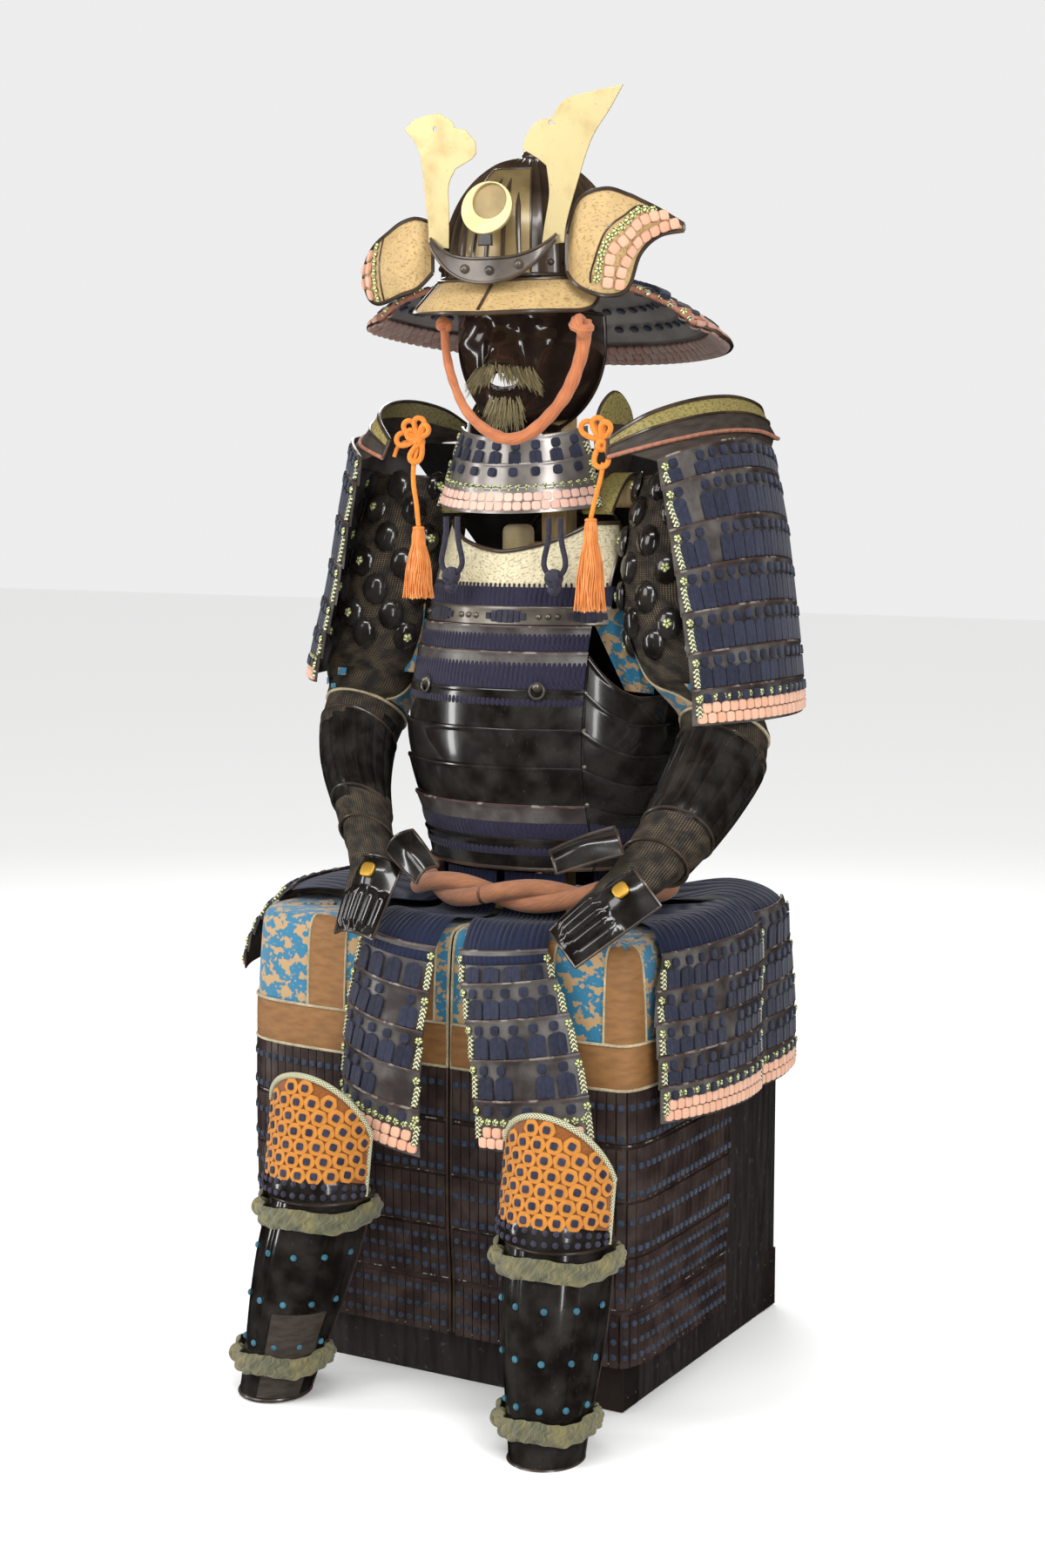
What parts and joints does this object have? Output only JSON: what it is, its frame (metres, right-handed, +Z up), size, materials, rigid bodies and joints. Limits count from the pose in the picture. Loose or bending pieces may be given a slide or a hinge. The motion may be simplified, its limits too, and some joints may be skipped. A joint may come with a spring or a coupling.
{
  "type": "samurai armour seated on an armour chest and wooden stand",
  "caption": "Full suit of laced samurai armour with horned helmet, face mask and tasselled cords, set in a sitting pose on its armour chest and inner stand.",
  "frame": {"origin": "centre of the armour chest's underside, on the surface it stands on", "axes": "+Z up, -Y the way the armour faces, +X to the armour's own left side"},
  "size_m": [0.711, 0.6972, 1.5482],
  "materials": {
    "chest_lacquer": "matte dark lacquer on wood",
    "stand_wood": "plain oiled wood",
    "black_lacquer": "glossy black-brown lacquer",
    "helmet_lacquer": "satin dark brown lacquer",
    "mask_lacquer": "glossy dark lacquer",
    "lacing": "braided silk lacing over lacquered lames",
    "pale_leather": "stencilled leather, satin",
    "gilt": "gilt, softly polished",
    "brocade": "woven brocade",
    "sleeve_cloth": "mail and cloth",
    "knee_cloth": "quilted cloth",
    "tie_cloth": "twisted cotton cloth",
    "belt_rope": "two-strand twisted cloth rope",
    "chin_cloth": "rolled cotton cloth",
    "orange_cord": "braided silk cord",
    "navy_cord": "braided silk cord",
    "braid": "multicoloured silk braid",
    "peach_lacing": "pale pink silk lacing",
    "hair": "stiff bristle",
    "rivet": "worn metal"
  },
  "bodies": {
    "root": {"chest_body": "chest_lacquer", "chest_lid": "chest_lacquer", "stand": "stand_wood", "breast_plate": "pale_leather", "breast_lames": "lacing", "belly_front": "black_lacquer", "side_right": "black_lacquer", "back_plate": "black_lacquer", "strap_left": "pale_leather", "strap_right": "pale_leather", "belt": "belt_rope", "skirt_front_left": "lacing", "skirt_front_right": "lacing", "skirt_side_left": "lacing", "skirt_side_right": "lacing", "skirt_rear_left": "lacing", "skirt_rear_right": "lacing", "skirt_back": "lacing", "thigh_cloth_left": "brocade", "thigh_cloth_right": "brocade", "thigh_plates_left": "black_lacquer", "thigh_plates_right": "black_lacquer", "knee_left": "knee_cloth", "knee_right": "knee_cloth", "shin_left": "black_lacquer", "shin_right": "black_lacquer", "tie_knee_left": "tie_cloth", "tie_knee_right": "tie_cloth", "tie_ankle_left": "tie_cloth", "tie_ankle_right": "tie_cloth", "sleeve_left": "sleeve_cloth", "sleeve_right": "sleeve_cloth", "forearm_left": "black_lacquer", "forearm_right": "black_lacquer", "hand_left": "black_lacquer", "hand_right": "black_lacquer", "thumb_left": "black_lacquer", "thumb_right": "black_lacquer", "shoulder_guard_left": "lacing", "shoulder_guard_right": "lacing", "shoulder_top_left": "pale_leather", "shoulder_top_right": "pale_leather", "helmet_bowl": "helmet_lacquer", "helmet_brim": "pale_leather", "neck_guard": "lacing", "turnback_left": "pale_leather", "turnback_right": "pale_leather", "crest_socket": "helmet_lacquer", "crest_horn_left": "gilt", "crest_horn_right": "gilt", "crest_moon": "gilt", "mask": "mask_lacquer", "throat_guard": "lacing", "chin_cord": "chin_cloth", "tassel_cord_left": "orange_cord", "tassel_left": "orange_cord", "tassel_cord_right": "orange_cord", "tassel_right": "orange_cord", "bib_cord_left": "navy_cord", "bib_cord_right": "navy_cord"}
  },
  "joints": []
}
